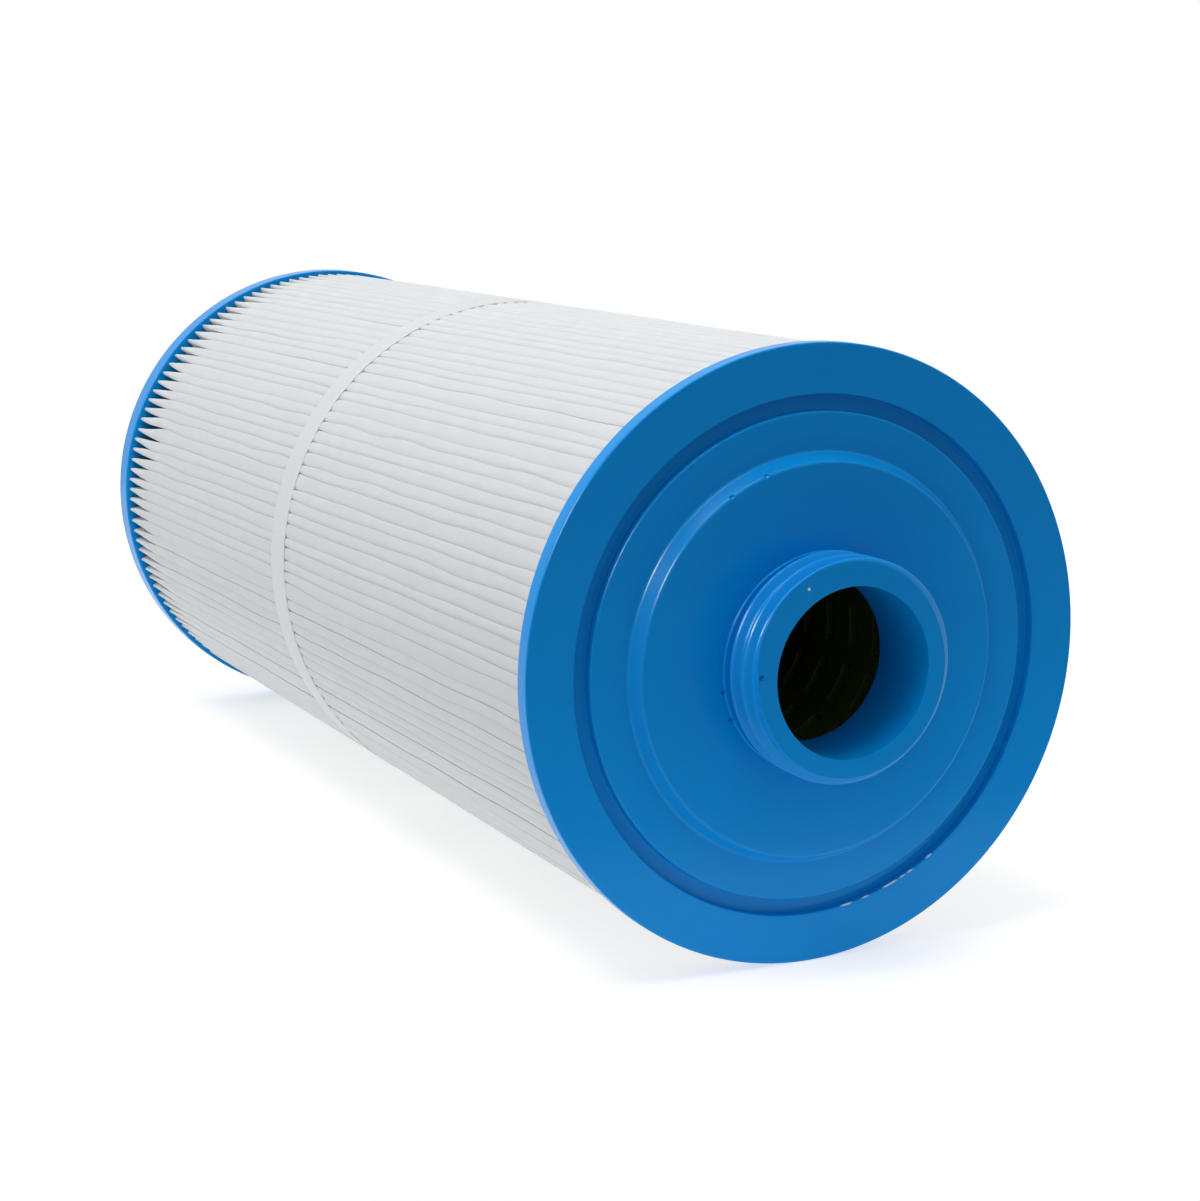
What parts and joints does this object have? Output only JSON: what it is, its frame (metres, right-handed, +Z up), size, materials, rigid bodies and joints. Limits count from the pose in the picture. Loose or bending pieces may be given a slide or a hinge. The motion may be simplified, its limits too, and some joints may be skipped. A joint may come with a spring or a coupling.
{
  "type": "pleated filter cartridge",
  "caption": "Pleated cylindrical water filter cartridge with a short coarse-threaded hollow nozzle on a stepped round end cap and a closed cap at the other end.",
  "frame": {"origin": "on the surface the cartridge lies on, at the middle of its box: below the axis, midway between the nozzle's tip and the closed end", "axes": "Y along the cartridge's axis, with the nozzle towards -Y and the closed end towards +Y; Z up"},
  "size_m": [0.127, 0.3026, 0.127],
  "materials": {
    "end_cap": "cast polyurethane, satin, crisp mould edges",
    "nozzle": "moulded blue plastic, satin",
    "media": "spun-bonded polyester sheet, pleated",
    "seam": "hot-melt adhesive bead",
    "band": "smooth white non-woven strip, glued",
    "core": "moulded olive-black plastic"
  },
  "bodies": {
    "root": {"outlet_end_cap": "end_cap", "threaded_nozzle": "nozzle", "closed_end_cap": "end_cap", "pleated_media": "media", "side_seam": "seam", "retaining_band": "band", "core_section_1": "core", "core_section_2": "core", "core_section_3": "core", "core_section_4": "core"}
  },
  "joints": []
}
